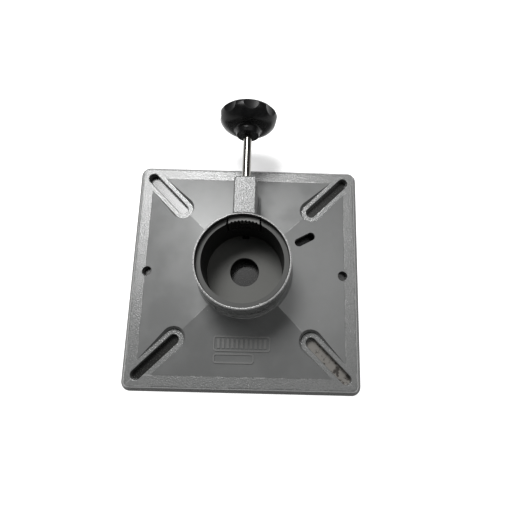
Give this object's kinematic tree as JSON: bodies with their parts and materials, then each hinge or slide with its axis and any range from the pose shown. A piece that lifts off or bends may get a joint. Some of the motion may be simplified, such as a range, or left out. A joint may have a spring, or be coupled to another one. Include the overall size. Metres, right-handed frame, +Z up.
{
  "type": "pedestal post base",
  "caption": "Square low-pyramid cast plate with a round post socket, corner mounting slots and a hand knob that screws a curved clamp shoe against the post.",
  "frame": {"origin": "on the socket's axis, in the plane of the underside", "axes": "+Z up along the socket's axis, +Y towards the clamp knob, +X to the right seen from the side opposite the knob"},
  "size_m": [0.23, 0.2658, 0.0837],
  "materials": {
    "cast_paint": "grey hammertone paint on die-cast aluminium",
    "steel": "turned stainless steel",
    "polished_steel": "polished stainless steel",
    "shoe_metal": "as-cast aluminium, lightly blasted",
    "knob_plastic": "black moulded plastic, satin gloss",
    "brass": "turned brass"
  },
  "bodies": {
    "base": {"base_casting": "cast_paint", "thread_bush": "steel"},
    "shoe": {"clamp_shoe": "shoe_metal", "thrust_washer": "steel"},
    "spindle": {"clamp_spindle": "polished_steel", "shoe_retaining_clip": "steel", "knob_body": "knob_plastic", "knob_insert": "brass"}
  },
  "joints": [
    {"name": "shoe_slide", "type": "slide", "parent": "base", "child": "shoe", "axis": [0, -1, 0], "range_m": [0, 0.0035]},
    {"name": "knob_turn", "type": "hinge", "parent": "shoe", "child": "spindle", "pos_m": [0, 0.09, 0.056], "axis": [0, -1, 0], "range_deg": [0, 1000]}
  ],
  "couplings": [
    {"joint": "shoe_slide", "follows": "knob_turn", "m_per_rad": 0.00019894}
  ]
}
